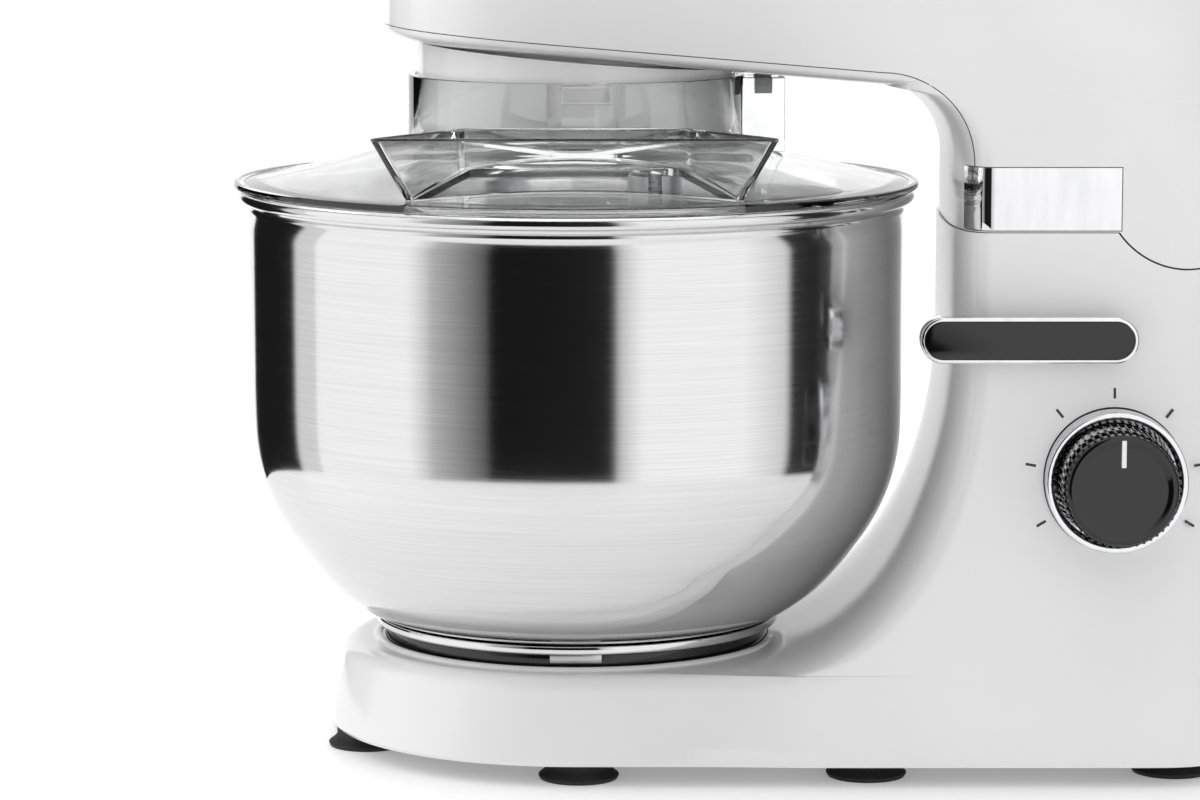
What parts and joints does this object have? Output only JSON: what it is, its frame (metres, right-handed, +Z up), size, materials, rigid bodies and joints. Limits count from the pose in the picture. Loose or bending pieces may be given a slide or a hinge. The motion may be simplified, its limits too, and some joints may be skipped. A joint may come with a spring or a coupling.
{
  "type": "stand mixer",
  "caption": "Tilt-head stand mixer with a polished bowl, a clear lid with a pouring chute, a planetary beater drive, a speed knob and a release lever.",
  "frame": {"origin": "on the table, under the middle of the bounding box", "axes": "+X from the bowl to the column, +Z up, +Y away from the side with the knob, lever and chute"},
  "size_m": [0.372, 0.244, 0.3354],
  "materials": {
    "white_gloss_abs": "injection moulded, high gloss",
    "black_gloss_abs": "injection moulded, high gloss",
    "grey_plastic": "fine moulded texture",
    "clear_polycarbonate": "clear, polished mould",
    "machined_steel": "turned",
    "polished_stainless": "mirror polish with faint turning marks on the wall",
    "chrome_plate": "bright plating",
    "cast_zinc": "die cast",
    "cast_aluminium": "cast and tumbled",
    "copper_winding": "enamelled wire",
    "steel_laminations": "stacked sheet",
    "natural_nylon": "moulded",
    "black_rubber": "moulded",
    "circuit_board": "laminate"
  },
  "bodies": {
    "stand": {"stand_housing": "white_gloss_abs", "base_plate": "grey_plastic", "bowl_seat": "black_gloss_abs", "column_bracket": "machined_steel", "hinge_pin": "machined_steel", "knob_bezel": "chrome_plate", "speed_switch": "grey_plastic", "control_board": "circuit_board", "cord_gland": "black_rubber", "lever_spring": "machined_steel", "base_screw_1": "machined_steel", "base_screw_2": "machined_steel", "base_screw_3": "machined_steel", "base_screw_4": "machined_steel", "foot_front_near": "black_rubber", "foot_front_far": "black_rubber", "foot_mid_near": "black_rubber", "foot_mid_far": "black_rubber", "foot_rear_mid_near": "black_rubber", "foot_rear_mid_far": "black_rubber", "foot_rear_near": "black_rubber", "foot_rear_far": "black_rubber"},
    "bowl": {"bowl": "polished_stainless", "bowl_foot": "polished_stainless"},
    "head": {"head_upper_shell": "white_gloss_abs", "head_lower_shell": "white_gloss_abs", "neck_trim_near": "chrome_plate", "neck_trim_far": "chrome_plate", "hub_skirt": "white_gloss_abs", "ring_gear": "cast_zinc", "head_frame": "cast_zinc", "motor_stator": "steel_laminations", "field_coil_front": "copper_winding", "field_coil_rear": "copper_winding", "bearing_front": "machined_steel", "bearing_rear": "machined_steel", "brush_holder_near": "natural_nylon", "brush_holder_far": "natural_nylon", "lid_catch": "grey_plastic", "splash_lid": "clear_polycarbonate", "pouring_chute": "clear_polycarbonate"},
    "rotor": {"motor_rotor": "steel_laminations", "worm": "machined_steel", "cooling_fan": "natural_nylon"},
    "reduction": {"worm_wheel": "natural_nylon", "pinion": "machined_steel", "reduction_shaft": "machined_steel"},
    "hub": {"main_gear": "cast_zinc", "drive_shaft": "machined_steel", "planet_carrier": "cast_aluminium"},
    "tool": {"planet_gear": "machined_steel", "tool_spindle": "machined_steel", "tool_pin": "machined_steel", "flat_beater": "cast_aluminium"},
    "knob": {"speed_knob": "black_gloss_abs"},
    "lever": {"lever_handle": "chrome_plate", "lever_insert": "black_gloss_abs", "lever_shaft": "machined_steel"},
    "latch": {"latch_bolt": "machined_steel"}
  },
  "joints": [
    {"name": "head_tilt", "type": "hinge", "parent": "stand", "child": "head", "pos_m": [0.148, 0, 0.206], "axis": [0, 1, 0], "range_deg": [0, 33]},
    {"name": "bowl_twist", "type": "hinge", "parent": "stand", "child": "bowl", "pos_m": [-0.064, 0, 0.043], "axis": [0, 0, 1], "range_deg": [0, 20]},
    {"name": "hub_spin", "type": "hinge", "parent": "head", "child": "hub", "pos_m": [-0.064, 0, 0.225], "axis": [0, 0, 1], "continuous": true},
    {"name": "tool_spin", "type": "hinge", "parent": "hub", "child": "tool", "pos_m": [-0.036, 0, 0.225], "axis": [0, 0, 1], "continuous": true},
    {"name": "reduction_spin", "type": "hinge", "parent": "head", "child": "reduction", "pos_m": [-0.04195, -0.0264, 0.28], "axis": [0, 0, 1], "continuous": true},
    {"name": "rotor_spin", "type": "hinge", "parent": "head", "child": "rotor", "pos_m": [0.036, 0, 0.297], "axis": [1, 0, 0], "continuous": true},
    {"name": "speed_select", "type": "hinge", "parent": "stand", "child": "knob", "pos_m": [0.122, -0.08, 0.104], "axis": [0, 1, 0], "range_deg": [-30, 240]},
    {"name": "lever_lift", "type": "hinge", "parent": "stand", "child": "lever", "pos_m": [0.108, -0.068, 0.153], "axis": [0, 1, 0], "range_deg": [0, 25], "stiffness_Nm_per_rad": 0.15, "springref_deg": -20.05},
    {"name": "latch_slide", "type": "slide", "parent": "stand", "child": "latch", "axis": [1, 0, 0], "range_m": [0, 0.0082]}
  ],
  "couplings": [
    {"joint": "tool_spin", "follows": "hub_spin", "ratio": -3},
    {"joint": "reduction_spin", "follows": "hub_spin", "ratio": -2.75},
    {"joint": "rotor_spin", "follows": "hub_spin", "ratio": -99},
    {"joint": "latch_slide", "follows": "lever_lift", "m_per_rad": 0.0186}
  ]
}
